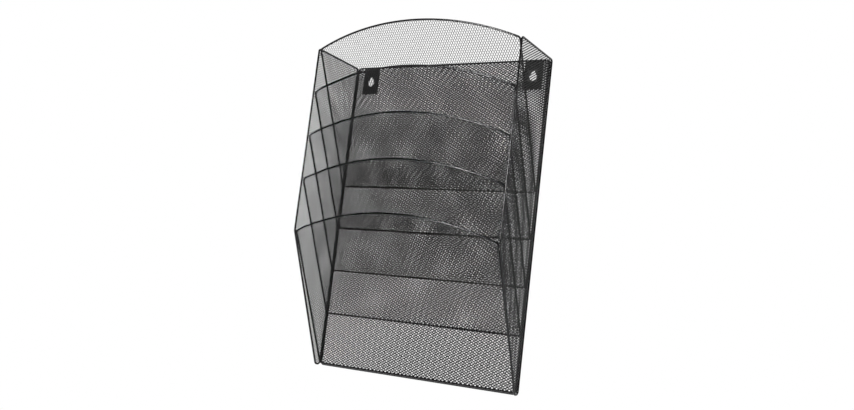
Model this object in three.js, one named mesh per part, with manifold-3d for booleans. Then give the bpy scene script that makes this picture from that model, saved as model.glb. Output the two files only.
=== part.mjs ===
// Wall rack for leaflets: five sloping pockets of wire-framed expanded metal, hung between two side
// panels on a back panel. Every panel is one bent rod, closed into a loop, with mesh filling it.
// Millimetres. X is to the right, Y runs into the wall and Z is up. The wall is the plane Y = 0,
// and the origin lies midway between the two screws that the rack hangs on.
import * as THREE from "three";
import { mergeVertices } from "three/addons/utils/BufferGeometryUtils.js";
import Module from "manifold-3d";

const wasm = await Module();
wasm.setup();

// Wire and sheet, and the room that two pieces keep where they are welded together
const WIRE = 3; // rod diameter
const CLEARANCE = 0.3;
const SHEET = 0.8; // thickness of the expanded metal

// Back panel, between wire centres
const FRAME_WIDTH = 350;
const FRAME_HEIGHT = 500;
const BACK_BEND = 3.5; // inside radius of the rod's corners, as are the other bends

// Side panels, between wire centres
const DEPTH = 110; // back wire to front wire
const TIP_DEPTH = 11.5; // front to back at the foot of the panel
const SIDE_BEND = 2.5;
const KNEE_BEND = 6.5;
const FOOT_BEND = 4;

// Pockets, between wire centres
const POCKETS = 5;
const POCKET_PITCH = 70.7; // from one pocket down to the next
const LAST_POCKET_STEP = 81.5; // the lowest pocket sits a little further down
const TOP_POCKET_DROP = 1; // from the frame's top wire to the first pocket's corners
const POCKET_RISE = 203.5; // upright height of a pocket's sides
const POCKET_BEND = 3.5;
const ARCH_RISE = 35.4; // how far the arched top stands above the corners, along the slope

// Hanger plates, and the teardrop keyhole in each
const PLATE_WIDTH = 30;
const PLATE_HEIGHT = 45;
const PLATE_THICKNESS = 1.2;
const PLATE_CORNER = 2;
const PLATE_INSET = 26; // from the frame's upright wire to the keyhole
const SCREW_DROP = 17.7; // from the frame's top wire to the screw
const NECK_DIAMETER = 4.8; // where the screw's shank rests
const HEAD_DIAMETER = 12.4; // where the screw's head passes
const KEYHOLE_LENGTH = 7; // from the neck's centre to the head's centre
const WINDOW_MARGIN = 2; // how far the mesh is cut back round each keyhole

// Mesh pattern: diamonds in staggered rows, drawn coarser than the real metal
const DIAMOND_WIDTH = 80;
const DIAMOND_HEIGHT = 58;
const STRAND = 5;
const SMALLEST_GAP = 0.12; // a clipped diamond under this share of a whole one stays closed
const SHORTEST_EDGE = 0.5; // of a clipped diamond

// Facets
const WIRE_SIDES = 8;
const BEND_STEPS = 3;
const ARCH_STEPS = 12;
const KEYHOLE_STEPS = 6;

// Places that follow from the sizes
const SIDE_BY_SIDE = WIRE + CLEARANCE; // between the centres of two rods that are welded together
const BACK_Y = -(PLATE_THICKNESS + CLEARANCE + WIRE / 2);
const FOOT_Z = SCREW_DROP - FRAME_HEIGHT;
const SIDE_X = FRAME_WIDTH / 2 + SIDE_BY_SIDE;
const KEYHOLE_X = FRAME_WIDTH / 2 - PLATE_INSET;
const POCKET_RUN = DEPTH - SIDE_BY_SIDE; // how far a pocket leans out from foot to corner
const POCKET_LENGTH = Math.hypot(POCKET_RUN, POCKET_RISE);
const POCKET_LEAN = Math.atan2(POCKET_RUN, POCKET_RISE);

const wireMaterial = new THREE.MeshStandardMaterial({ color: 0x141415, roughness: 0.42, metalness: 0.2 });
const meshMaterial = new THREE.MeshStandardMaterial({ color: 0x1b1b1c, roughness: 0.55, metalness: 0.2 });
const plateMaterial = new THREE.MeshStandardMaterial({ color: 0x171718, roughness: 0.5, metalness: 0.2 });

// Height of a pocket's top corners above the foot of the frame, where pocket 0 is the highest
function cornerHeight(pocket) {
  const steps = pocket * POCKET_PITCH;
  const lastStep = pocket === POCKETS - 1 ? LAST_POCKET_STEP - POCKET_PITCH : 0;
  return FRAME_HEIGHT - TOP_POCKET_DROP - steps - lastStep;
}

// A closed outline that runs anticlockwise, from corners given as [x, y, radius]: a radius of 0 stays sharp
function roundedOutline(corners) {
  return corners.flatMap(([x, y, radius], i) => {
    const corner = new THREE.Vector2(x, y);
    if (radius === 0) return [corner];
    const before = corners.at(i - 1);
    const after = corners[(i + 1) % corners.length];
    const toBefore = new THREE.Vector2(before[0], before[1]).sub(corner).normalize();
    const toAfter = new THREE.Vector2(after[0], after[1]).sub(corner).normalize();
    const half = Math.acos(toBefore.dot(toAfter)) / 2;
    const middle = toBefore.clone().add(toAfter).normalize();
    const centre = corner.clone().addScaledVector(middle, radius / Math.sin(half));
    const turn = Math.PI - 2 * half;
    const start = middle.angle() + Math.PI - turn / 2;
    return Array.from({ length: BEND_STEPS + 1 }, (_, step) => {
      const angle = start + (turn * step) / BEND_STEPS;
      return new THREE.Vector2(Math.cos(angle), Math.sin(angle)).multiplyScalar(radius).add(centre);
    });
  });
}

// The outward shift at each point of an outline that moves every edge out by one millimetre
function mitres(outline) {
  const outward = outline.map((point, i) => {
    const edge = outline[(i + 1) % outline.length].clone().sub(point).normalize();
    return new THREE.Vector2(edge.y, -edge.x);
  });
  return outward.map((normal, i) => {
    const previous = outward.at(i - 1);
    return normal.clone().add(previous).divideScalar(1 + normal.dot(previous));
  });
}

function insetOutline(outline, distance) {
  const shifts = mitres(outline);
  return outline.map((point, i) => point.clone().addScaledVector(shifts[i], -distance));
}

// One rod along a closed outline, as rings of points that meet in the mitre planes
function wireLoop(outline) {
  const shifts = mitres(outline);
  const radius = WIRE / 2;
  const positions = [];
  const indices = [];
  outline.forEach((point, i) => {
    const next = (i + 1) % outline.length;
    for (let side = 0; side < WIRE_SIDES; side += 1) {
      const angle = ((side + 0.5) / WIRE_SIDES) * 2 * Math.PI;
      const spot = point.clone().addScaledVector(shifts[i], radius * Math.cos(angle));
      positions.push(spot.x, spot.y, radius * Math.sin(angle));
      const nextSide = (side + 1) % WIRE_SIDES;
      const here = [i * WIRE_SIDES + side, i * WIRE_SIDES + nextSide];
      const ahead = [next * WIRE_SIDES + side, next * WIRE_SIDES + nextSide];
      indices.push(here[0], ahead[0], here[1], here[1], ahead[0], ahead[1]);
    }
  });
  const geometry = new THREE.BufferGeometry();
  geometry.setAttribute("position", new THREE.Float32BufferAttribute(positions, 3));
  geometry.setIndex(indices);
  geometry.computeVertexNormals();
  return geometry;
}

// The part of a convex polygon that lies deeper than a margin inside a convex, anticlockwise outline
function clipped(polygon, outline, margin) {
  return outline.reduce((kept, start, i) => {
    const edge = outline[(i + 1) % outline.length].clone().sub(start).normalize();
    const depth = (point) => edge.cross(point.clone().sub(start)) - margin;
    return kept.flatMap((point, j) => {
      const next = kept[(j + 1) % kept.length];
      const [here, ahead] = [depth(point), depth(next)];
      const crossing = here * ahead < 0 ? [point.clone().lerp(next, here / (here - ahead))] : [];
      return here >= 0 ? [point, ...crossing] : crossing;
    });
  }, polygon);
}

function rectangle(left, low, right, high) {
  return [[left, low], [right, low], [right, high], [left, high]].map(([x, y]) => new THREE.Vector2(x, y));
}

// The largest part of a gap that lies wholly to one side of a window, within a box
function besideWindow(gap, window, box) {
  const { min, max } = window;
  const sides = [
    rectangle(box.min.x, box.min.y, min.x, box.max.y),
    rectangle(max.x, box.min.y, box.max.x, box.max.y),
    rectangle(box.min.x, box.min.y, box.max.x, min.y),
    rectangle(box.min.x, max.y, box.max.x, box.max.y),
  ];
  const parts = sides.map((side) => clipped(gap, side, STRAND / 2));
  return parts.reduce((best, part) => (area(part) > area(best) ? part : best));
}

function meets(window, polygon) {
  const { min, max } = window;
  return area(clipped(polygon, rectangle(min.x, min.y, max.x, max.y), -STRAND / 2)) > 0;
}

function area(polygon) {
  return polygon.length > 2 ? THREE.ShapeUtils.area(polygon) : 0;
}

// Diamond gaps in staggered rows inside an outline, none of which reaches into a window
function diamondGaps(outline, windows) {
  const box = new THREE.Box2().setFromPoints(outline);
  const middle = box.getCenter(new THREE.Vector2());
  const acrossStrands = (DIAMOND_WIDTH * DIAMOND_HEIGHT) / Math.hypot(DIAMOND_WIDTH, DIAMOND_HEIGHT);
  const open = 1 - STRAND / acrossStrands;
  const halfWidth = (open * DIAMOND_WIDTH) / 2;
  const halfHeight = (open * DIAMOND_HEIGHT) / 2;
  const smallest = SMALLEST_GAP * 2 * halfWidth * halfHeight;
  const rows = Math.ceil((box.max.y - box.min.y) / DIAMOND_HEIGHT);
  const columns = Math.ceil((box.max.x - box.min.x) / DIAMOND_WIDTH / 2) + 1;
  const gaps = [];
  for (let row = -rows; row <= rows; row += 1) {
    for (let column = -columns; column <= columns; column += 1) {
      const x = middle.x + (column + (row & 1) / 2) * DIAMOND_WIDTH;
      const y = middle.y + (row * DIAMOND_HEIGHT) / 2;
      const diamond = [[halfWidth, 0], [0, halfHeight], [-halfWidth, 0], [0, -halfHeight]].map(
        ([right, up]) => new THREE.Vector2(x + right, y + up),
      );
      const inside = clipped(diamond, outline, STRAND / 2);
      const near = windows.filter((window) => meets(window, inside));
      const gap = near.reduce((left, window) => besideWindow(left, window, box), inside);
      const distinct = gap.filter((point, i) => point.distanceTo(gap[(i + 1) % gap.length]) > SHORTEST_EDGE);
      if (area(distinct) > smallest) gaps.push(distinct);
    }
  }
  return gaps;
}

// Flat outlines raised to one thickness, centred on their plane
function slab(outlines, thickness) {
  const shapes = outlines.map((outline) => new THREE.Shape(outline));
  const geometry = new THREE.ExtrudeGeometry(shapes, { depth: thickness, bevelEnabled: false });
  return geometry.translate(0, 0, -thickness / 2);
}

function solid(geometry) {
  geometry.deleteAttribute("normal");
  geometry.deleteAttribute("uv");
  const merged = mergeVertices(geometry);
  const vertProperties = merged.attributes.position.array;
  const triVerts = new Uint32Array(merged.index.array);
  return new wasm.Manifold(new wasm.Mesh({ numProp: 3, vertProperties, triVerts }));
}

// A flat sheet of mesh that fills a wire loop, with rectangular windows cut out of it
function meshSheet(outline, windows = []) {
  const edge = insetOutline(outline, WIRE / 2 + CLEARANCE);
  const cutouts = windows.map(({ min, max }) => rectangle(min.x, min.y, max.x, max.y));
  const gaps = slab([...diamondGaps(edge, windows), ...cutouts], 2 * SHEET);
  const { vertProperties, triVerts } = solid(slab([edge], SHEET)).subtract(solid(gaps)).getMesh();
  const geometry = new THREE.BufferGeometry();
  geometry.setAttribute("position", new THREE.BufferAttribute(vertProperties, 3));
  geometry.setIndex(new THREE.BufferAttribute(triVerts, 1));
  geometry.computeVertexNormals();
  return geometry;
}

// A flat plate with rounded corners and a teardrop keyhole whose neck is at the plate's origin
function hangerPlate() {
  const [left, right] = [-PLATE_WIDTH / 2, PLATE_WIDTH / 2];
  const [low, high] = [SCREW_DROP - PLATE_HEIGHT, SCREW_DROP];
  const corners = [[left, low], [right, low], [right, high], [left, high]];
  const shape = new THREE.Shape(roundedOutline(corners.map(([x, y]) => [x, y, PLATE_CORNER])));
  const [neck, head] = [NECK_DIAMETER / 2, HEAD_DIAMETER / 2];
  const flare = Math.asin((head - neck) / KEYHOLE_LENGTH);
  const keyhole = new THREE.Path();
  keyhole.absarc(0, 0, neck, flare, Math.PI - flare, false);
  keyhole.absarc(0, -KEYHOLE_LENGTH, head, Math.PI - flare, 2 * Math.PI + flare, false);
  keyhole.closePath();
  shape.holes.push(keyhole);
  const options = { depth: PLATE_THICKNESS, bevelEnabled: false, curveSegments: KEYHOLE_STEPS };
  return new THREE.ExtrudeGeometry(shape, options);
}

function named(name, geometry, material) {
  const mesh = new THREE.Mesh(geometry, material.clone());
  mesh.name = name;
  return mesh;
}

// A panel in its own plane, the rod and the mesh that fills it, from corners given as [x, y, inside bend].
// A point with no bend is one of a row that follows an arc.
function panel(wireName, meshName, corners, windows) {
  const outline = roundedOutline(corners.map(([x, y, bend]) => [x, y, bend ? bend + WIRE / 2 : 0]));
  const group = new THREE.Group();
  group.add(named(wireName, wireLoop(outline), wireMaterial));
  group.add(named(meshName, meshSheet(outline, windows), meshMaterial));
  return group;
}

function backPanel() {
  const half = FRAME_WIDTH / 2;
  const corners = [[-half, 0], [half, 0], [half, FRAME_HEIGHT], [-half, FRAME_HEIGHT]];
  const screwHeight = FRAME_HEIGHT - SCREW_DROP;
  const reach = HEAD_DIAMETER / 2 + WINDOW_MARGIN;
  const windows = [-KEYHOLE_X, KEYHOLE_X].map((x) => {
    const low = screwHeight - KEYHOLE_LENGTH - reach;
    const high = screwHeight + NECK_DIAMETER / 2 + WINDOW_MARGIN;
    return new THREE.Box2(new THREE.Vector2(x - reach, low), new THREE.Vector2(x + reach, high));
  });
  const bent = corners.map(([x, y]) => [x, y, BACK_BEND]);
  const group = panel("back_frame_wire", "back_mesh", bent, windows);
  group.rotation.x = Math.PI / 2;
  group.position.set(0, BACK_Y, FOOT_Z);
  return group;
}

// A side panel's outline runs forward and up from the foot of its back wire
function sidePanel(side, x) {
  const corners = [
    [0, 0, FOOT_BEND],
    [TIP_DEPTH, 0, FOOT_BEND],
    [DEPTH, cornerHeight(POCKETS - 1), KNEE_BEND],
    [DEPTH, FRAME_HEIGHT, SIDE_BEND],
    [0, FRAME_HEIGHT, SIDE_BEND],
  ];
  const group = panel(`${side}_side_frame_wire`, `${side}_side_mesh`, corners);
  group.rotation.set(Math.PI / 2, -Math.PI / 2, 0);
  group.position.set(x, BACK_Y, FOOT_Z);
  return group;
}

// A pocket's outline: straight foot and sides, and an arc over the top
function pocketPanel(pocket) {
  const half = FRAME_WIDTH / 2;
  const arcRadius = (half * half + ARCH_RISE * ARCH_RISE) / (2 * ARCH_RISE);
  const arcHalfAngle = Math.asin(half / arcRadius);
  const arch = Array.from({ length: ARCH_STEPS - 1 }, (_, step) => {
    const angle = arcHalfAngle * (1 - (2 * (step + 1)) / ARCH_STEPS);
    const rise = arcRadius * (Math.cos(angle) - Math.cos(arcHalfAngle));
    return [arcRadius * Math.sin(angle), POCKET_LENGTH + rise];
  });
  const corners = [
    [-half, 0, POCKET_BEND],
    [half, 0, POCKET_BEND],
    [half, POCKET_LENGTH, POCKET_BEND],
    ...arch,
    [-half, POCKET_LENGTH, POCKET_BEND],
  ];
  const group = panel(`pocket_${pocket + 1}_rim_wire`, `pocket_${pocket + 1}_mesh`, corners);
  group.rotation.x = Math.PI / 2 + POCKET_LEAN;
  group.position.set(0, BACK_Y - SIDE_BY_SIDE, FOOT_Z + cornerHeight(pocket) - POCKET_RISE);
  return group;
}

function hanger(side, x) {
  const plate = named(`${side}_hanger_plate`, hangerPlate(), plateMaterial);
  plate.rotation.x = Math.PI / 2;
  plate.position.x = x;
  return plate;
}

const rack = new THREE.Group();
rack.add(backPanel());
rack.add(sidePanel("left", -SIDE_X), sidePanel("right", SIDE_X));
for (let pocket = 0; pocket < POCKETS; pocket += 1) rack.add(pocketPanel(pocket));
rack.add(hanger("left", -KEYHOLE_X), hanger("right", KEYHOLE_X));

export default rack;
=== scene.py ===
# %% [markdown]
# A wall rack for leaflets, welded from bent steel rod and expanded steel mesh and then powder coated
# black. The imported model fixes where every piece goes. This file gives each piece its real surface: round
# rods, mesh with its true openings, punched plates, weld nuggets and the satin paint over all of it.
# First come the frame and the box that the finished object has to stay in.

import math
import bmesh
import bpy
from mathutils import Matrix, Vector


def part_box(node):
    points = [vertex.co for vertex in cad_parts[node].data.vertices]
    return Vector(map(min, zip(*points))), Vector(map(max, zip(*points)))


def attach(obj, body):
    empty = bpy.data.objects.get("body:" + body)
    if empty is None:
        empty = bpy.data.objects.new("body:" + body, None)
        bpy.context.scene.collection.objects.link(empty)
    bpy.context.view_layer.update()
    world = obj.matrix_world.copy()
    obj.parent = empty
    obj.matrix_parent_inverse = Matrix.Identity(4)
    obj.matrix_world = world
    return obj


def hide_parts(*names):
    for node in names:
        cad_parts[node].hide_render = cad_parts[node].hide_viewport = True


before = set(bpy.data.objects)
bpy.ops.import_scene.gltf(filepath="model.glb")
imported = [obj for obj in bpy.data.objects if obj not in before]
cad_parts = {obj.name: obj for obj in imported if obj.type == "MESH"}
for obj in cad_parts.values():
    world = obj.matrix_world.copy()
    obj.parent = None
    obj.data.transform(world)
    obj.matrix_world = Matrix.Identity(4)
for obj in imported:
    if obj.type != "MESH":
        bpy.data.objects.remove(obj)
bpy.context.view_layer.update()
MM = 0.001  # the frame is in metres, and the sizes below read best in millimetres

# %% [markdown]
# Every panel is flat, so each one is drawn in its own plane and then stood up. The sizes are those of the
# real rods and sheets, measured between wire centres. The places come from them and from the back frame
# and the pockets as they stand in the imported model.

# %% Sizes and places
WIRE_RADIUS = 1.5  # mm, a 3 mm rod
WELD_ROOM = 0.3  # mm left between two rods that are welded side by side
SIDE_BY_SIDE = 2 * WIRE_RADIUS + WELD_ROOM
PACKED_SIDES = 8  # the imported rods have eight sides, with a flat at each limit of their box
FLAT_RADIUS = WIRE_RADIUS * math.cos(math.pi / PACKED_SIDES)

back_low, back_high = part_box("back_frame_wire")
side_low, side_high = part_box("left_side_frame_wire")
BACK_Y = (back_low[1] + back_high[1]) / 2 / MM
FOOT_Z = back_low[2] / MM + FLAT_RADIUS
FRAME_WIDTH = (back_high[0] - back_low[0]) / MM - 2 * FLAT_RADIUS
FRAME_HEIGHT = (back_high[2] - back_low[2]) / MM - 2 * FLAT_RADIUS
SIDE_X = -(side_low[0] + side_high[0]) / 2 / MM
SIDE_DEPTH = (side_high[1] - side_low[1]) / MM - 2 * FLAT_RADIUS
FOOT_DEPTH = 11.5  # front to back at the foot of a side panel

POCKETS = 5
POCKET_PITCH = 70.7  # from one pocket down to the next
LAST_POCKET_STEP = 81.5  # the lowest pocket hangs a little further down
TOP_POCKET_DROP = 1  # from the frame's top to the corners of the highest pocket
POCKET_RISE = 203.5  # height of a pocket from its foot to its corners
ARCH_RISE = 35.4
POCKET_RUN = SIDE_DEPTH - SIDE_BY_SIDE
POCKET_LENGTH = math.hypot(POCKET_RUN, POCKET_RISE)
POCKET_LEAN = math.atan2(POCKET_RUN, POCKET_RISE)

BACK_BEND, SIDE_BEND, KNEE_BEND, FOOT_BEND, POCKET_BEND = 5, 4, 8, 5.5, 5  # mm, to the wire's centre
print(f"frame {FRAME_WIDTH:.1f} x {FRAME_HEIGHT:.1f} mm, {SIDE_DEPTH:.1f} mm deep")
print(f"side panels {SIDE_X:.1f} mm from the middle")


def corner_height(pocket):
    """Height of a pocket's top corners above the frame's foot, where pocket 0 is the highest."""
    last = LAST_POCKET_STEP - POCKET_PITCH if pocket == POCKETS - 1 else 0
    return FRAME_HEIGHT - TOP_POCKET_DROP - pocket * POCKET_PITCH - last


# %% [markdown]
# A panel's plane has u across it, w up it and n out of its face. One matrix stands a panel up in the
# frame and turns millimetres into metres in the same move, so no piece needs fitting afterwards.

# %% Planes of the panels
def plane(origin, across, up):
    u, w = Vector(across), Vector(up)
    turned = Matrix((u, w, u.cross(w))).transposed().to_4x4()
    return Matrix.Scale(MM, 4) @ Matrix.Translation(Vector(origin)) @ turned


BACK_PLANE = plane((0, BACK_Y, FOOT_Z), (1, 0, 0), (0, 0, 1))
SIDE_PLANES = {
    "left": plane((-SIDE_X, BACK_Y, FOOT_Z), (0, -1, 0), (0, 0, 1)),
    "right": plane((SIDE_X, BACK_Y, FOOT_Z), (0, -1, 0), (0, 0, 1)),
}


def pocket_plane(pocket):
    foot = (0, BACK_Y - SIDE_BY_SIDE, FOOT_Z + corner_height(pocket) - POCKET_RISE)
    return plane(foot, (1, 0, 0), (0, -math.sin(POCKET_LEAN), math.cos(POCKET_LEAN)))


print("pockets lean", round(math.degrees(POCKET_LEAN), 1), "degrees")

# %% [markdown]
# Rod is bent round a die, so every corner is an arc. The outline of a panel is a list of corners with
# their bend radii, and this cell turns it into points, with enough steps in each arc that it looks round.

# %% Outlines with bent corners
BEND_STEPS = 8
ARCH_STEPS = 40


def bent_outline(corners):
    """Points of a closed outline, from corners given as (u, w, radius): a radius of 0 stays sharp."""
    points = []
    for i, (u, w, radius) in enumerate(corners):
        corner = Vector((u, w))
        if not radius:
            points.append(corner)
            continue
        to_before = (Vector(corners[i - 1][:2]) - corner).normalized()
        to_after = (Vector(corners[(i + 1) % len(corners)][:2]) - corner).normalized()
        half = to_before.angle(to_after) / 2
        middle = (to_before + to_after).normalized()
        centre = corner + middle * radius / math.sin(half)
        turn = math.pi - 2 * half
        start = math.atan2(middle.y, middle.x) + math.pi - turn / 2
        for step in range(BEND_STEPS + 1):
            angle = start + turn * step / BEND_STEPS
            points.append(centre + radius * Vector((math.cos(angle), math.sin(angle))))
    return points


def rectangle(left, right, low, high, radius):
    """The corners of a rectangle, anticlockwise from the lower left, all with one bend radius."""
    return [(left, low, radius), (right, low, radius), (right, high, radius), (left, high, radius)]


def pocket_corners():
    half = FRAME_WIDTH / 2
    arc_radius = (half * half + ARCH_RISE * ARCH_RISE) / (2 * ARCH_RISE)
    arc_half_angle = math.asin(half / arc_radius)
    arch = []
    for step in range(1, ARCH_STEPS):
        angle = arc_half_angle * (1 - 2 * step / ARCH_STEPS)
        rise = arc_radius * (math.cos(angle) - math.cos(arc_half_angle))
        arch.append((arc_radius * math.sin(angle), POCKET_LENGTH + rise, 0))
    foot = [(-half, 0, POCKET_BEND), (half, 0, POCKET_BEND)]
    return foot + [(half, POCKET_LENGTH, POCKET_BEND)] + arch + [(-half, POCKET_LENGTH, POCKET_BEND)]


half_width = FRAME_WIDTH / 2
BACK_OUTLINE = bent_outline(rectangle(-half_width, half_width, 0, FRAME_HEIGHT, BACK_BEND))
SIDE_OUTLINE = bent_outline(
    [
        (0, 0, FOOT_BEND),
        (FOOT_DEPTH, 0, FOOT_BEND),
        (SIDE_DEPTH, corner_height(POCKETS - 1), KNEE_BEND),
        (SIDE_DEPTH, FRAME_HEIGHT, SIDE_BEND),
        (0, FRAME_HEIGHT, SIDE_BEND),
    ]
)
POCKET_OUTLINE = bent_outline(pocket_corners())
print("outline points: back", len(BACK_OUTLINE), "side", len(SIDE_OUTLINE), "pocket", len(POCKET_OUTLINE))

# %% [markdown]
# The paint on all of it is a satin black powder coat: dry paint sprayed on charged steel and melted in an
# oven. It flows into a skin with a faint orange peel of about a millimetre. It pulls thinner and smoother
# over the round of a rod, which shows one narrow grey highlight, and it lies duller on mesh and on plate.

# %% Helpers for materials
def srgb(code):
    """A linear colour from a hex value such as "1a1a1a"."""
    parts = [int(code[i : i + 2], 16) / 255 for i in (0, 2, 4)]
    return [p / 12.92 if p <= 0.04045 else ((p + 0.055) / 1.055) ** 2.4 for p in parts] + [1.0]


def add_node(tree, kind, settings=(), links=()):
    """A node with its settings by name, its values by socket, and its links from other outputs."""
    made = tree.nodes.new(kind)
    for name, value in dict(settings).items():
        if isinstance(name, str) and hasattr(made, name):
            setattr(made, name, value)
        else:
            made.inputs[name].default_value = value
    for socket, source in dict(links).items():
        tree.links.new(source, made.inputs[socket])
    return made


PAINT_IOR = 1.5
DARKER_BLACK, LIGHTER_BLACK = "0a0a0b", "101011"
DRIFT_SIZE = 60  # mm, over which the tone drifts from one black to the other
DRIFT_SPREAD = (0.35, 0.65)  # the part of the drift's noise that runs between the two blacks
PEEL_SPREAD = (0.3, 0.7)  # the part of the peel's noise that runs between smooth and rough
PEEL_STRENGTH = 0.5
WAVE_RATE = 10  # radians that a wave texture at scale 1 turns by in a metre along an axis
RIDGE_HEIGHT = 0.06  # mm


def powder_coat(name, smooth, rough, peel_mm, peel_depth, ridge_mm=0):
    """Satin powder coat with drifting tone and gloss, orange peel and, if asked for, slanting ridges."""
    material = bpy.data.materials.new(name)
    material.use_nodes = True
    tree = material.node_tree
    tree.nodes.clear()
    place = add_node(tree, "ShaderNodeTexCoord").outputs["Object"]
    slow = {"Scale": 1 / (DRIFT_SIZE * MM), "Detail": 3.0}
    drift = add_node(tree, "ShaderNodeTexNoise", slow, {"Vector": place})
    tone = add_node(tree, "ShaderNodeValToRGB", links={"Fac": drift.outputs["Fac"]})
    for stop, spread, black in zip(tone.color_ramp.elements, DRIFT_SPREAD, (DARKER_BLACK, LIGHTER_BLACK)):
        stop.position = spread
        stop.color = srgb(black)
    fine = {"Scale": 1 / (peel_mm * MM), "Detail": 2.0}
    peel = add_node(tree, "ShaderNodeTexNoise", fine, {"Vector": place})
    shine = {"From Min": PEEL_SPREAD[0], "From Max": PEEL_SPREAD[1], "To Min": smooth, "To Max": rough}
    gloss = add_node(tree, "ShaderNodeMapRange", shine, {"Value": peel.outputs["Fac"]})
    relief = {"Strength": PEEL_STRENGTH, "Distance": peel_depth * MM}
    bump = add_node(tree, "ShaderNodeBump", relief, {"Height": peel.outputs["Fac"]})
    if ridge_mm:
        repeats = {"bands_direction": "DIAGONAL", "Scale": 2 * math.pi / (WAVE_RATE * ridge_mm * MM)}
        ridges = add_node(tree, "ShaderNodeTexWave", repeats, {"Vector": place})
        relief = {"Strength": 1.0, "Distance": RIDGE_HEIGHT * MM}
        heights = {"Height": ridges.outputs["Fac"], "Normal": bump.outputs["Normal"]}
        bump = add_node(tree, "ShaderNodeBump", relief, heights)
    surface = {
        "Base Color": tone.outputs["Color"],
        "Roughness": gloss.outputs["Result"],
        "Normal": bump.outputs["Normal"],
    }
    shader = add_node(tree, "ShaderNodeBsdfPrincipled", {"IOR": PAINT_IOR}, surface)
    add_node(tree, "ShaderNodeOutputMaterial", links={"Surface": shader.outputs["BSDF"]})
    return material


# %% [markdown]
# The cut edge of each mesh is rolled round its rod before the paint goes on. Its strands show through as
# slanting ridges, as far apart as the bonds of the mesh, that break the highlight on the rod into dashes.

# %% Powder coats for rod, mesh and plate
BOND_PITCH = 4.0  # mm, bond to bond along a row of the mesh
ROD_COAT = {"smooth": 0.14, "rough": 0.20, "peel_mm": 1.2, "peel_depth": 0.02, "ridge_mm": BOND_PITCH}
MESH_COAT = {"smooth": 0.48, "rough": 0.58, "peel_mm": 0.8, "peel_depth": 0.02}
PLATE_COAT = {"smooth": 0.42, "rough": 0.54, "peel_mm": 1.4, "peel_depth": 0.03}

ROD_PAINT = powder_coat("powder_coat_on_bent_rod", **ROD_COAT)
MESH_PAINT = powder_coat("powder_coat_on_expanded_mesh", **MESH_COAT)
PLATE_PAINT = powder_coat("powder_coat_on_punched_plate", **PLATE_COAT)
print("materials", [m.name for m in (ROD_PAINT, MESH_PAINT, PLATE_PAINT)])

# %% [markdown]
# Every piece is ended in the same way. Its mesh already lies where it belongs, so the object stays at the
# origin. It gets its paint, it rides on the rack's one body, and the imported parts that it stands for are
# hidden.

# %% A finished piece
def finished(name, mesh, paint, nodes):
    """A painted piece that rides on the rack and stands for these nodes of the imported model."""
    mesh.name = name
    mesh.materials.clear()
    mesh.materials.append(paint)
    piece = bpy.data.objects.new(name, mesh)
    bpy.context.scene.collection.objects.link(piece)
    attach(piece, "root")
    if nodes:
        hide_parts(*nodes)
    return piece


# %% [markdown]
# A frame is one rod bent into a closed loop and butt welded. A curve with a round bevel is the plainest
# way to make it: the curve keeps the section square to the path through every bend, and turning it into a
# mesh leaves an evenly divided tube that closes on itself.

# %% Bent rods
ROD_RESOLUTION = 3  # bevel steps in a quarter turn of the section, which gives sixteen sides


def rod_loop(name, outline, stand, node):
    curve = bpy.data.curves.new(name, "CURVE")
    curve.dimensions = "3D"
    curve.bevel_depth = WIRE_RADIUS * MM
    curve.bevel_resolution = ROD_RESOLUTION
    spline = curve.splines.new("POLY")
    spline.points.add(len(outline) - 1)
    for point, (u, w) in zip(spline.points, outline):
        point.co = (*(stand @ Vector((u, w, 0))), 1)
    spline.use_cyclic_u = True
    holder = bpy.data.objects.new(name + "_path", curve)
    mesh = bpy.data.meshes.new_from_object(holder)
    bpy.data.objects.remove(holder)
    bpy.data.curves.remove(curve)
    mesh.shade_smooth()
    return finished(name, mesh, ROD_PAINT, [node])


rods = [rod_loop("back_frame_rod", BACK_OUTLINE, BACK_PLANE, "back_frame_wire")]
for side, stand in SIDE_PLANES.items():
    rods.append(rod_loop(f"{side}_side_rod", SIDE_OUTLINE, stand, f"{side}_side_frame_wire"))
for pocket in range(POCKETS):
    node = f"pocket_{pocket + 1}_rim_wire"
    rods.append(rod_loop(f"pocket_{pocket + 1}_rim_rod", POCKET_OUTLINE, pocket_plane(pocket), node))
print(len(rods), "rods of", sum(len(rod.data.polygons) for rod in rods), "faces")

# %% [markdown]
# Expanded metal starts as a sheet with rows of slits. Pulling the sheet opens each slit into a six-sided
# gap, and leaves thin strands that meet in thicker bonds. The bonds stand 4 mm apart in rows, and each row
# is half a step across from the next. The die also tips every strand and bond the same way, like the slats
# of a blind, so the sheet looks more open from one side than from the other. One bond, its two tips and the
# two strands that rise from it make a tile: the rest of the sheet is copies of it.

# %% One tile of expanded metal
ROW_PITCH = BOND_PITCH * math.sqrt(3) / 2  # mm, row to row
SLAT_SLOPE = 0.6  # mm out of the sheet for each mm across a bond
LIGHT_SHEET = {"bond_width": 1.1, "bond_length": 1.7, "tip": 0.35}  # mm, for the pockets
HEAVY_SHEET = {"bond_width": 1.9, "bond_length": 1.3, "tip": 0.6}  # mm, for the back and the sides
SHEET_THICKNESS = 0.4


def everything(bm):
    return bm.verts[:] + bm.edges[:] + bm.faces[:]


def extruded(bm, edge, shift):
    """The vertices of a new edge that an extrusion draws out of another one."""
    result = bmesh.ops.extrude_edge_only(bm, edges=[edge])["geom"]
    moved = [item for item in result if isinstance(item, bmesh.types.BMVert)]
    bmesh.ops.translate(bm, verts=moved, vec=shift)
    return moved


def edge_at(bm, *spots):
    """The edge whose two ends lie at these spots of the flat sheet."""
    ends = [min(bm.verts, key=lambda v: (v.co.xy - Vector(spot)).length) for spot in spots]
    return next(edge for edge in bm.edges if set(edge.verts) == set(ends))


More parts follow.
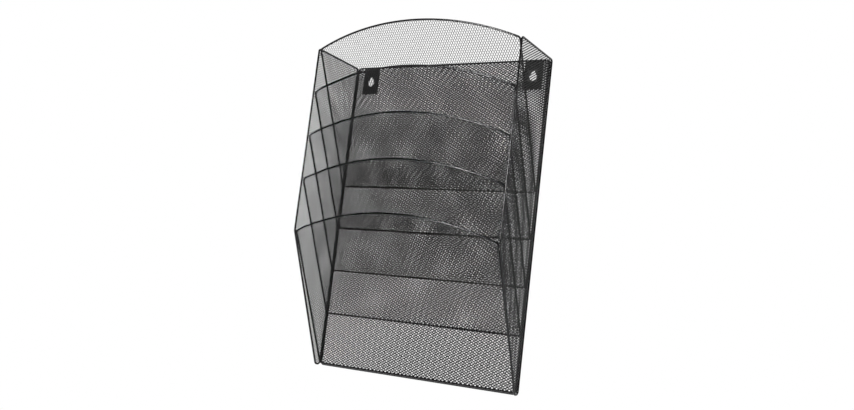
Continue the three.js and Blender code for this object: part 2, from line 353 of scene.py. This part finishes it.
def mesh_tile(bond_width, bond_length, tip):
    """A bond in each of two rows, with the strands that rise from it."""
    bm = bmesh.new()
    half, shoulder = bond_width / 2, bond_length / 2
    crotch = shoulder + tip
    grid = bmesh.ops.create_grid(bm, x_segments=1, y_segments=1, size=1)["verts"]
    bmesh.ops.scale(bm, verts=grid, vec=(half, shoulder, 1))
    for sign in (1, -1):
        end = edge_at(bm, (-half, sign * shoulder), (half, sign * shoulder))
        drawn = extruded(bm, end, (0, sign * tip, 0))
        bmesh.ops.pointmerge(bm, verts=drawn, merge_co=(0, sign * crotch, 0))
    slope = Matrix(((1, 0, 0), (0, 1, 0), (SLAT_SLOPE, 0, 1)))
    bmesh.ops.transform(bm, verts=bm.verts[:], matrix=slope.to_4x4())
    rise = ROW_PITCH - shoulder - crotch
    for sign in (1, -1):
        root = edge_at(bm, (sign * half, shoulder), (0, crotch))
        extruded(bm, root, (sign * (BOND_PITCH / 2 - half), rise, -sign * SLAT_SLOPE * half))
    row = bmesh.ops.duplicate(bm, geom=everything(bm))["geom"]
    copied = [item for item in row if isinstance(item, bmesh.types.BMVert)]
    bmesh.ops.translate(bm, verts=copied, vec=(BOND_PITCH / 2, ROW_PITCH, 0))
    bmesh.ops.recalc_face_normals(bm, faces=bm.faces[:])
    mesh = bpy.data.meshes.new("mesh_tile")
    bm.to_mesh(mesh)
    bm.free()
    return mesh


LIGHT_TILE, HEAVY_TILE = mesh_tile(**LIGHT_SHEET), mesh_tile(**HEAVY_SHEET)
print("a tile has", len(LIGHT_TILE.polygons), "faces")

# %% [markdown]
# Two arrays, one along the rows and one up the sheet, lay copies of the tile over an area, and the corners
# that meet are joined. The sheet is then turned, shifted and trimmed along every edge of the panel's
# outline, as shears would do it. No outline here has a hollow, so straight cuts are enough.

# %% A field of tiles
JOIN_DISTANCE = 0.01  # mm, under which two corners are one
TOUCH = 1e-5  # mm, under which a corner lies on a cut


def tile_field(tile, width, height):
    """Tiles over an area of this size in mm, from the origin."""
    holder = bpy.data.objects.new("tile_field", tile)
    bpy.context.scene.collection.objects.link(holder)
    for step, length in (((BOND_PITCH, 0, 0), width), ((0, 2 * ROW_PITCH, 0), height)):
        array = holder.modifiers.new("array", "ARRAY")
        array.use_relative_offset = False
        array.use_constant_offset = True
        array.constant_offset_displace = step
        array.count = math.ceil(length / max(step)) + 2
    seen = holder.evaluated_get(bpy.context.evaluated_depsgraph_get())
    mesh = bpy.data.meshes.new_from_object(seen)
    bpy.data.objects.remove(holder)
    bm = bmesh.new()
    bm.from_mesh(mesh)
    bpy.data.meshes.remove(mesh)
    bmesh.ops.remove_doubles(bm, verts=bm.verts[:], dist=JOIN_DISTANCE)
    return bm


def cut(bm, parts, spot, outward, drop):
    """A straight cut through these parts. What lies outward of it is dropped or stays."""
    bmesh.ops.bisect_plane(bm, geom=parts, plane_co=spot, plane_no=outward, clear_outer=drop, dist=TOUCH)


def trim(bm, outline):
    """Keeps what lies inside a convex outline that runs anticlockwise."""
    for start, end in zip(outline, outline[1:] + outline[:1]):
        along = end - start
        cut(bm, everything(bm), (*start, 0), (along.y, -along.x, 0), drop=True)


def sheet_over(outline, tile, degrees, shift=0):
    """A sheet that covers an outline, its rows turned by some degrees and shifted by some mm."""
    low = Vector((min(p.x for p in outline), min(p.y for p in outline)))
    high = Vector((max(p.x for p in outline), max(p.y for p in outline)))
    across, up = high - low
    turn = math.radians(degrees)
    width = across * abs(math.cos(turn)) + up * abs(math.sin(turn))
    height = across * abs(math.sin(turn)) + up * abs(math.cos(turn))
    bm = tile_field(tile, width, height)
    start = (-width / 2 - BOND_PITCH / 2 - shift, -height / 2 - ROW_PITCH, 0)
    bmesh.ops.translate(bm, verts=bm.verts[:], vec=start)
    bmesh.ops.rotate(bm, verts=bm.verts[:], cent=(0, 0, 0), matrix=Matrix.Rotation(turn, 3, "Z"))
    bmesh.ops.translate(bm, verts=bm.verts[:], vec=(*((low + high) / 2), 0))
    return bm


# %% [markdown]
# The strands run up to the middle of the rod and are welded there. A pocket's mesh is cut from the lighter
# sheet, its rows of bonds level. No sheet is laid into its frame quite straight: each is about a degree
# askew and shifted by part of a bond, and where two of them overlap, this shows as slanting light bands.

# %% Mesh of the pockets
POCKET_ASKEW = [(0.7, 0.4), (-1.1, 2.9), (1.4, 1.3), (-0.6, 3.6), (0.9, 2.2)]  # degrees and mm


def mesh_panel(name, bm, stand, nodes):
    """A thick, painted piece of mesh from a flat cut."""
    mesh = bpy.data.meshes.new(name)
    bm.to_mesh(mesh)
    mesh.transform(stand)
    piece = finished(name, mesh, MESH_PAINT, nodes)
    thickness = piece.modifiers.new("sheet_thickness", "SOLIDIFY")
    thickness.thickness = SHEET_THICKNESS * MM
    thickness.offset = 0
    return piece


for pocket, (degrees, shift) in enumerate(POCKET_ASKEW):
    name = f"pocket_{pocket + 1}_expanded_mesh"
    pocket_cut = sheet_over(POCKET_OUTLINE, LIGHT_TILE, degrees, shift)
    trim(pocket_cut, POCKET_OUTLINE)
    mesh_panel(name, pocket_cut, pocket_plane(pocket), [f"pocket_{pocket + 1}_mesh"])
    print(name, "has", len(pocket_cut.faces), "flat faces")
    pocket_cut.free()

# %% [markdown]
# A screw's head has to pass through the back to reach its keyhole, so the mesh is cut away in a rectangle
# behind each one. Four straight cuts divide the strands near it, and then what lies inside is deleted.

# %% Window behind a keyhole
PLATE_WIDTH = 30  # mm
NECK_RADIUS, HEAD_RADIUS, KEYHOLE_LENGTH = 2.4, 6.2, 7  # mm, the length from centre to centre
KEYHOLE_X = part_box("right_hanger_plate")[0][0] / MM + PLATE_WIDTH / 2
SCREW_HEIGHT = -FOOT_Z  # the screws are level with the origin
WINDOW_MARGIN = 2  # mm of room round the keyhole
WINDOW_HALF = HEAD_RADIUS + WINDOW_MARGIN
WINDOW_LOW = SCREW_HEIGHT - KEYHOLE_LENGTH - HEAD_RADIUS - WINDOW_MARGIN
WINDOW_HIGH = SCREW_HEIGHT + NECK_RADIUS + WINDOW_MARGIN
NEAR = 8  # mm above and below the window where strands are cut


def faces_within(bm, left, right, low, high):
    """The faces whose middles lie inside a rectangle."""
    found = []
    for face in bm.faces:
        middle = face.calc_center_median()
        if left < middle.x < right and low < middle.y < high:
            found.append(face)
    return found


def cut_window(bm, middle):
    """Deletes the strands in a rectangle behind a keyhole."""
    left, right = middle - WINDOW_HALF, middle + WINDOW_HALF
    upright = [((u, 0, 0), (1, 0, 0)) for u in (left, right)]
    level = [((0, w, 0), (0, 1, 0)) for w in (WINDOW_LOW, WINDOW_HIGH)]
    for spot, outward in upright + level:
        near = faces_within(
            bm, left - WINDOW_HALF, right + WINDOW_HALF, WINDOW_LOW - NEAR, WINDOW_HIGH + NEAR
        )
        edges = [edge for face in near for edge in face.edges]
        verts = [vert for face in near for vert in face.verts]
        cut(bm, list(dict.fromkeys(near + edges + verts)), spot, outward, drop=False)
    inside = faces_within(bm, left, right, WINDOW_LOW, WINDOW_HIGH)
    bmesh.ops.delete(bm, geom=inside, context="FACES")


print(f"keyholes {2 * KEYHOLE_X:.1f} mm apart, {SCREW_HEIGHT:.1f} mm above the foot")

# %% [markdown]
# The sides and the back are filled with the heavier sheet, turned a quarter so that its rows of bonds stand
# upright. Both sides share one cut. The back is made in two halves, since a single piece would be too dense
# to export whole.

# %% Mesh of the sides and the back
UPRIGHT = 90  # degrees

side_cut = sheet_over(SIDE_OUTLINE, HEAVY_TILE, UPRIGHT)
trim(side_cut, SIDE_OUTLINE)
for side, stand in SIDE_PLANES.items():
    mesh_panel(f"{side}_side_expanded_mesh", side_cut, stand, [f"{side}_side_mesh"])
print("a side's mesh has", len(side_cut.faces), "flat faces")
side_cut.free()

for side, sign in (("left", -1), ("right", 1)):
    back_cut = sheet_over(BACK_OUTLINE, HEAVY_TILE, UPRIGHT)
    trim(back_cut, BACK_OUTLINE)
    cut(back_cut, everything(back_cut), (0, 0, 0), (-sign, 0, 0), drop=True)
    cut_window(back_cut, sign * KEYHOLE_X)
    mesh_panel(f"back_expanded_mesh_{side}", back_cut, BACK_PLANE, ["back_mesh"])
    print("the back's", side, "half has", len(back_cut.faces), "flat faces")
    back_cut.free()

# %% [markdown]
# The hanger plates are punched from sheet: a press leaves crisp but not sharp edges. A flat curve with a
# second loop inside it fills as a plate with a hole, its extrusion gives the thickness, and a small bevel
# breaks the edges of the plate and of the keyhole alike.

# %% Hanger plates
PLATE_HEIGHT = 45  # mm
PLATE_THICKNESS = 1.2
PLATE_CORNER = 2  # radius of the plate's corners
BROKEN_EDGE = 0.15
SCREW_DROP = 17.7  # from the plate's top down to the screw
MERGE_DISTANCE = 0.001  # under which two corners are one
ARC_STEPS = 24


def arc(centre, radius, start, end):
    """Points of an arc round a centre at this height on the keyhole's middle line."""
    angles = [start + (end - start) * step / ARC_STEPS for step in range(ARC_STEPS + 1)]
    return [Vector((radius * math.cos(a), centre + radius * math.sin(a))) for a in angles]


def hanger_plate(side, x):
    half = PLATE_WIDTH / 2
    rim = bent_outline(rectangle(-half, half, SCREW_DROP - PLATE_HEIGHT, SCREW_DROP, PLATE_CORNER))
    flare = math.asin((HEAD_RADIUS - NECK_RADIUS) / KEYHOLE_LENGTH)
    keyhole = arc(0, NECK_RADIUS, flare, math.pi - flare)
    keyhole += arc(-KEYHOLE_LENGTH, HEAD_RADIUS, math.pi - flare, 2 * math.pi + flare)
    curve = bpy.data.curves.new(side + "_plate", "CURVE")
    curve.dimensions = "2D"
    curve.fill_mode = "BOTH"
    curve.offset = -BROKEN_EDGE
    curve.bevel_depth = BROKEN_EDGE
    curve.bevel_resolution = 2
    curve.extrude = PLATE_THICKNESS / 2 - BROKEN_EDGE
    for loop in (rim, keyhole):
        spline = curve.splines.new("POLY")
        spline.points.add(len(loop) - 1)
        for point, (u, w) in zip(spline.points, loop):
            point.co = (u, w, 0, 1)
        spline.use_cyclic_u = True
    holder = bpy.data.objects.new(side + "_plate", curve)
    mesh = bpy.data.meshes.new_from_object(holder)
    bpy.data.objects.remove(holder)
    mesh.transform(plane((x, -PLATE_THICKNESS / 2, 0), (1, 0, 0), (0, 0, 1)))
    bm = bmesh.new()
    bm.from_mesh(mesh)
    bmesh.ops.remove_doubles(bm, verts=bm.verts[:], dist=MERGE_DISTANCE * MM)
    bmesh.ops.recalc_face_normals(bm, faces=bm.faces[:])
    bm.to_mesh(mesh)
    bm.free()
    name = f"{side}_punched_plate"
    return finished(name, mesh, PLATE_PAINT, [f"{side}_hanger_plate"])


for side, x in (("left", -KEYHOLE_X), ("right", KEYHOLE_X)):
    plate = hanger_plate(side, x)
    print(plate.name, "has", len(plate.data.polygons), "faces")

# %% [markdown]
# The loops are joined by resistance welding: two rods are pressed together and a current melts a small
# nugget between them. Under the paint it shows as a smooth swelling. Each nugget here is a ball, stretched
# along the rods that it joins. All of them are one piece, since paint has run over them all.

# %% Weld nuggets
NUGGET = (1.5, 1.1, 2.6)  # mm: half its reach across the gap, half its depth and half its length
FRAME_WELDS = (14, FRAME_HEIGHT / 3, 2 * FRAME_HEIGHT / 3, FRAME_HEIGHT - 12)  # mm above the foot
CORNER_DROP, CORNER_SETBACK = 7, 4  # mm below a pocket's corner, and back from the front rod
FOOT_LIFT, FOOT_SETBACK = 6, 1.5  # mm above a pocket's foot, and out from the back frame
SIDEWAYS, REARWARD = Vector((1, 0, 0)), Vector((0, 1, 0))


def nugget_spots():
    """Places in the frame, in mm, where two rods are welded, each with the direction from rod to rod."""
    spots = []
    inner = FRAME_WIDTH / 2 + SIDE_BY_SIDE / 2
    for sign in (-1, 1):
        for height in FRAME_WELDS:
            spots.append(((sign * inner, BACK_Y, FOOT_Z + height), SIDEWAYS))
        for pocket in range(POCKETS):
            height = FOOT_Z + corner_height(pocket)
            front = BACK_Y - SIDE_DEPTH + CORNER_SETBACK
            spots.append(((sign * inner, front, height - CORNER_DROP), SIDEWAYS))
            rear = BACK_Y - SIDE_BY_SIDE / 2 - FOOT_SETBACK
            foot = height - POCKET_RISE + FOOT_LIFT
            spots.append(((sign * FRAME_WIDTH / 2, rear, foot), REARWARD))
    return spots


def weld_nuggets():
    bm = bmesh.new()
    quarter = Matrix.Rotation(math.pi / 2, 3, "Z")
    for spot, direction in nugget_spots():
        made = bmesh.ops.create_uvsphere(bm, u_segments=12, v_segments=8, radius=1)["verts"]
        bmesh.ops.scale(bm, verts=made, vec=NUGGET)
        if direction == REARWARD:
            bmesh.ops.rotate(bm, verts=made, cent=(0, 0, 0), matrix=quarter)
        bmesh.ops.translate(bm, verts=made, vec=spot)
    mesh = bpy.data.meshes.new("weld_nuggets")
    bm.to_mesh(mesh)
    bm.free()
    mesh.transform(Matrix.Scale(MM, 4))
    mesh.shade_smooth()
    return finished("weld_nuggets", mesh, ROD_PAINT, [])


weld_nuggets()
print(len(nugget_spots()), "weld nuggets")

# %% [markdown]
# The photograph was taken from in front and to the right, from low down and with the camera tipped, so the
# rack seems to lean. The place, the two angles and the tip were solved from the straight wires. The lens
# follows from a focal length of 910 pixels on a picture 854 pixels wide.

# %% Camera
CAMERA_PLACE = (0.7232, -1.2310, -0.3925)
CAMERA_HEADING = math.radians(30.84)  # to the left of straight at the wall
CAMERA_PITCH = math.radians(7.20)  # upwards
CAMERA_ROLL = math.radians(6.75)
FOCAL_PIXELS, PICTURE_WIDTH, SENSOR_WIDTH = 910.3, 854, 36.0

ahead = Vector(
    (
        -math.sin(CAMERA_HEADING) * math.cos(CAMERA_PITCH),
        math.cos(CAMERA_HEADING) * math.cos(CAMERA_PITCH),
        math.sin(CAMERA_PITCH),
    )
)
camera_data = bpy.data.cameras.new("camera")
camera_data.sensor_width = SENSOR_WIDTH
camera_data.lens = FOCAL_PIXELS * SENSOR_WIDTH / PICTURE_WIDTH
camera = bpy.data.objects.new("camera", camera_data)
bpy.context.scene.collection.objects.link(camera)
turned = ahead.to_track_quat("-Z", "Y").to_matrix().to_4x4() @ Matrix.Rotation(CAMERA_ROLL, 4, "Z")
camera.matrix_world = Matrix.Translation(CAMERA_PLACE) @ turned
bpy.context.scene.camera = camera
print("lens", round(camera_data.lens, 2), "mm")

# %% [markdown]
# The rack stands before a white backdrop, as in a catalogue. If that white lit it from all sides, it would
# wash out the black. So it is white where it is seen: by the camera, and behind the rack also in a reflection
# or through glass. To every other ray the surroundings are a dim room.

# %% Surroundings
WHITE = srgb("ffffff")
DIM_ROOM = 0.04  # strength of the room as a light
BACKDROP_EDGE = (-0.1, 0.3)  # how far back a direction points where the white starts and is full

world = bpy.data.worlds.new("studio")
world.use_nodes = True
bpy.context.scene.world = world
sky = world.node_tree
sky.nodes.clear()
ray = add_node(sky, "ShaderNodeLightPath").outputs
way = add_node(sky, "ShaderNodeTexCoord").outputs["Generated"]
back = add_node(sky, "ShaderNodeSeparateXYZ", links={"Vector": way}).outputs["Y"]
edge = {"From Min": BACKDROP_EDGE[0], "From Max": BACKDROP_EDGE[1]}
behind = add_node(sky, "ShaderNodeMapRange", edge, {"Value": back}).outputs["Result"]
larger, times = {"operation": "MAXIMUM"}, {"operation": "MULTIPLY"}
mirrored = add_node(sky, "ShaderNodeMath", larger, {0: ray["Is Glossy Ray"], 1: ray["Is Transmission Ray"]})
mirrored = add_node(sky, "ShaderNodeMath", times, {0: mirrored.outputs["Value"], 1: behind})
seen = add_node(sky, "ShaderNodeMath", larger, {0: ray["Is Camera Ray"], 1: mirrored.outputs["Value"]})
room = add_node(sky, "ShaderNodeBackground", {"Color": WHITE, "Strength": DIM_ROOM}).outputs["Background"]
backdrop = add_node(sky, "ShaderNodeBackground", {"Color": WHITE, "Strength": 1.0}).outputs["Background"]
both = add_node(sky, "ShaderNodeMixShader", links={0: seen.outputs["Value"], 1: room, 2: backdrop})
add_node(sky, "ShaderNodeOutputWorld", links={"Surface": both.outputs["Shader"]})

# %% [markdown]
# The floor is pale paper, well below the rack and outside the photograph's view. Most of its white is its
# own glow, so it shows only a little darker than the white behind it. The rest is the light that falls on
# it, which leaves the rack's shadow.

# %% Floor
FLOOR_SIZE, FLOOR_HEIGHT = 8, -1.3  # m
GLOW_SHARE = 0.85
PAPER = srgb("f0f0f0")

paper = bpy.data.materials.new("matt_pale_paper")
paper.use_nodes = True
tree = paper.node_tree
tree.nodes.clear()
ray = add_node(tree, "ShaderNodeLightPath").outputs
mirrored = add_node(tree, "ShaderNodeMath", larger, {0: ray["Is Glossy Ray"], 1: ray["Is Transmission Ray"]})
seen = add_node(tree, "ShaderNodeMath", larger, {0: ray["Is Camera Ray"], 1: mirrored.outputs["Value"]})
share = add_node(tree, "ShaderNodeMath", {**times, 1: GLOW_SHARE}, {0: seen.outputs["Value"]})
matt = add_node(tree, "ShaderNodeBsdfDiffuse", {"Color": PAPER}).outputs["BSDF"]
glow = add_node(tree, "ShaderNodeEmission", {"Color": WHITE, "Strength": 1.0}).outputs["Emission"]
both = add_node(tree, "ShaderNodeMixShader", links={0: share.outputs["Value"], 1: matt, 2: glow})
add_node(tree, "ShaderNodeOutputMaterial", links={"Surface": both.outputs["Shader"]})

bm = bmesh.new()
bmesh.ops.create_grid(bm, x_segments=1, y_segments=1, size=FLOOR_SIZE / 2)
bmesh.ops.translate(bm, verts=bm.verts[:], vec=(0, 0, FLOOR_HEIGHT))
floor_mesh = bpy.data.meshes.new("floor")
bm.to_mesh(floor_mesh)
bm.free()
floor_mesh.materials.append(paper)
floor = bpy.data.objects.new("floor", floor_mesh)
bpy.context.scene.collection.objects.link(floor)
print("floor", FLOOR_SIZE, "m square at", FLOOR_HEIGHT, "m")

# %% [markdown]
# One soft box stands in front, a little to the left and above the rack's top. It draws the grey line down the
# right-hand wires and lights the rest plainly: the light on the rack is near pi watts a square metre, at
# which a white sheet renders as white.

# %% Soft box
RACK_MIDDLE = Vector((0, -0.06, -0.23))
BOX_PLACE = Vector((-0.44, -2.18, 0.24))
BOX_SIZE = 0.35  # m
BOX_POWER = 48  # W

box_light = bpy.data.lights.new("soft_box", "AREA")
box_light.shape = "SQUARE"
box_light.size = BOX_SIZE
box_light.energy = BOX_POWER
soft_box = bpy.data.objects.new("soft_box", box_light)
bpy.context.scene.collection.objects.link(soft_box)
aim = RACK_MIDDLE - BOX_PLACE
soft_box.matrix_world = Matrix.Translation(BOX_PLACE) @ aim.to_track_quat("-Z", "Y").to_matrix().to_4x4()
bpy.context.scene.view_settings.view_transform = "Standard"
print("light on the rack", round(BOX_POWER / math.pi / aim.length_squared, 2), "W a square metre")
